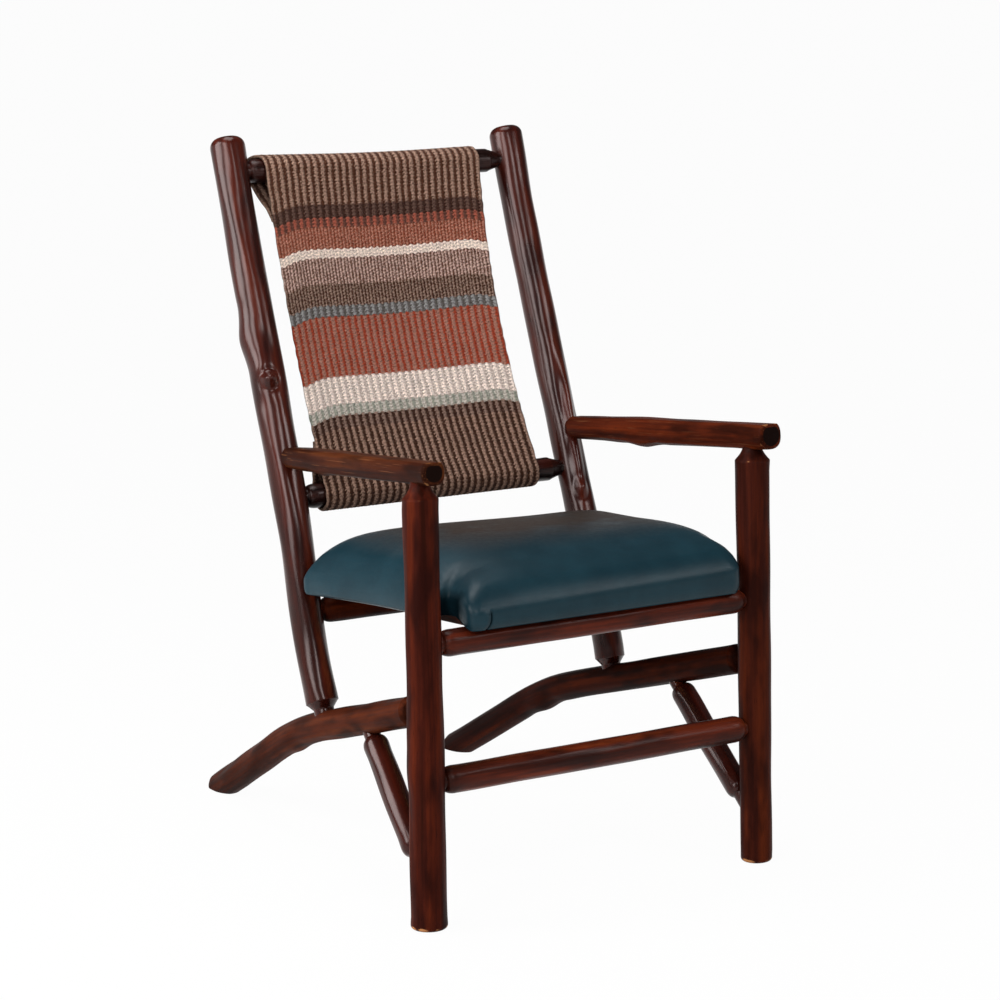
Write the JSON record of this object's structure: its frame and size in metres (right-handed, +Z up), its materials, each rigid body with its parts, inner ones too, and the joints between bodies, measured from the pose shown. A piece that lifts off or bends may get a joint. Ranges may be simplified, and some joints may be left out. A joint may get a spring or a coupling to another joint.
{
  "type": "log armchair",
  "caption": "Rustic armchair of peeled dark logs with a reclined woven sling back, a domed leather seat, flat-topped arms and bent rear legs joined by round tenons.",
  "frame": {"origin": "on the floor, under the middle of the chair's bounding box", "axes": "+Z up, the chair faces -Y, +X is the right side of someone who looks at it from the front"},
  "size_m": [0.5655, 0.7749, 0.9812],
  "materials": {
    "hickory": "dark red-brown satin lacquer",
    "plywood": "bare",
    "foam": "open-cell foam",
    "leather": "satin, fine pebble grain",
    "wool": "ribbed weave with cross stripes",
    "steel": "plain"
  },
  "bodies": {
    "root": {"front_leg_left": "hickory", "front_leg_right": "hickory", "crook_leg_left": "hickory", "crook_leg_right": "hickory", "back_post_left": "hickory", "back_post_right": "hickory", "arm_left": "hickory", "arm_right": "hickory", "brace_left": "hickory", "brace_right": "hickory", "front_seat_rail": "hickory", "front_stretcher": "hickory", "rear_seat_rail": "hickory", "top_back_rung": "hickory", "lower_back_rung": "hickory", "seat_cleat_left": "hickory", "seat_cleat_right": "hickory", "seat_board": "plywood", "seat_foam": "foam", "seat_leather": "leather", "back_sling": "wool", "upholstery_tack_left_1": "steel", "upholstery_tack_left_2": "steel", "upholstery_tack_left_3": "steel", "upholstery_tack_rear_1": "steel", "upholstery_tack_rear_2": "steel", "upholstery_tack_rear_3": "steel", "upholstery_tack_right_1": "steel", "upholstery_tack_right_2": "steel", "upholstery_tack_right_3": "steel", "seat_screw_front_left": "steel", "seat_screw_front_right": "steel", "seat_screw_rear_left": "steel", "seat_screw_rear_right": "steel"}
  },
  "joints": []
}
